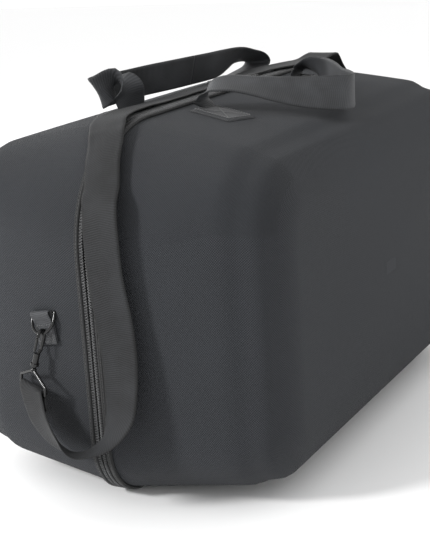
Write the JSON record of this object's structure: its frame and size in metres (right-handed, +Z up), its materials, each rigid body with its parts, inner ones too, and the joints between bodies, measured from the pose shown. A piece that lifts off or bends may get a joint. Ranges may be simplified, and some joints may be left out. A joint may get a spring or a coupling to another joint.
{
  "type": "hard-shell travel shoe case",
  "caption": "Zipped two-half moulded hard-shell shoe bag with webbing carry handles and a clip-on shoulder strap.",
  "frame": {"origin": "on the underside of the hinge band, midway along the case, on the plane of the zip", "axes": "+X along the case, +Y from the zip towards the half that carries the strap rings, +Z up with the case standing on its hinge side"},
  "size_m": [0.692, 0.362, 0.4006],
  "materials": {
    "shell": "fine woven laminate over moulded foam board",
    "webbing": "ribbed nylon webbing",
    "zip_tape": "woven tape",
    "zip_coil": "nylon coil",
    "binding": "folded binding tape",
    "stiffener": "pressed board patch",
    "hardware": "polished black plating"
  },
  "bodies": {
    "back_half": {"back_shell": "shell", "back_zip_tape": "zip_tape", "back_zip_chain": "zip_coil", "back_rim_binding": "binding", "hinge_band_back": "zip_tape", "hinge_welt_back": "zip_tape", "back_handle_pad_near": "webbing", "back_handle_pad_far": "webbing", "back_handle_backing_near": "stiffener", "back_handle_backing_far": "stiffener", "ring_tab_near": "webbing", "ring_tab_far": "webbing", "ring_tab_backing_near": "stiffener", "ring_tab_backing_far": "stiffener", "shoulder_strap_webbing": "webbing"},
    "front_half": {"front_shell": "shell", "front_zip_tape": "zip_tape", "front_zip_chain": "zip_coil", "front_rim_binding": "binding", "hinge_band_front": "zip_tape", "hinge_welt_front": "zip_tape", "front_handle_pad_near": "webbing", "front_handle_pad_far": "webbing", "front_handle_backing_near": "stiffener", "front_handle_backing_far": "stiffener"},
    "front_handle": {"front_handle_webbing": "webbing"},
    "back_handle": {"back_handle_webbing": "webbing"},
    "slider_near": {"zip_slider_near": "hardware"},
    "slider_far": {"zip_slider_far": "hardware"},
    "pull_near": {"zip_pull_near": "hardware"},
    "pull_far": {"zip_pull_far": "hardware"},
    "clip_near": {"d_ring_near": "hardware", "snap_hook_near": "hardware", "strap_bail_near": "hardware", "strap_end_near": "webbing"},
    "gate_near": {"hook_gate_near": "hardware"},
    "clip_far": {"d_ring_far": "hardware", "snap_hook_far": "hardware", "strap_bail_far": "hardware", "strap_end_far": "webbing"},
    "gate_far": {"hook_gate_far": "hardware"}
  },
  "joints": [
    {"name": "lid_hinge", "type": "hinge", "parent": "back_half", "child": "front_half", "pos_m": [0, 0, -0.0003], "axis": [1, 0, 0], "range_deg": [0, 180]},
    {"name": "front_handle_raise", "type": "hinge", "parent": "front_half", "child": "front_handle", "pos_m": [0, -0.034, 0.363], "axis": [-1, 0, 0], "range_deg": [0, 60]},
    {"name": "back_handle_raise", "type": "hinge", "parent": "back_half", "child": "back_handle", "pos_m": [0, 0.046, 0.358], "axis": [1, 0, 0], "range_deg": [0, 40]},
    {"name": "slider_near_run", "type": "slide", "parent": "back_half", "child": "slider_near", "axis": [1, 0, 0], "range_m": [-0.13, 0]},
    {"name": "slider_far_run", "type": "slide", "parent": "back_half", "child": "slider_far", "axis": [1, 0, 0], "range_m": [0, 0.024]},
    {"name": "pull_near_flip", "type": "hinge", "parent": "slider_near", "child": "pull_near", "pos_m": [0.0351, 0, 0.3661], "axis": [0, 1, 0], "range_deg": [0, 100]},
    {"name": "pull_far_flip", "type": "hinge", "parent": "slider_far", "child": "pull_far", "pos_m": [0.0529, 0, 0.3661], "axis": [0, -1, 0], "range_deg": [0, 100]},
    {"name": "ring_near_lift", "type": "hinge", "parent": "back_half", "child": "clip_near", "pos_m": [-0.29624, 0.05509, 0.19077], "axis": [0.1447, 0.9741, -0.1736], "range_deg": [0, 50]},
    {"name": "gate_near_press", "type": "hinge", "parent": "clip_near", "child": "gate_near", "pos_m": [-0.31366, 0.05717, 0.15842], "axis": [0, 0.9659, 0.2588], "range_deg": [0, 28], "stiffness_Nm_per_rad": 0.02},
    {"name": "ring_far_lift", "type": "hinge", "parent": "back_half", "child": "clip_far", "pos_m": [0.29624, 0.05509, 0.19077], "axis": [0.1447, -0.9741, 0.1736], "range_deg": [0, 50]},
    {"name": "gate_far_press", "type": "hinge", "parent": "clip_far", "child": "gate_far", "pos_m": [0.31366, 0.05717, 0.15842], "axis": [0, -0.9659, -0.2588], "range_deg": [0, 28], "stiffness_Nm_per_rad": 0.02}
  ]
}
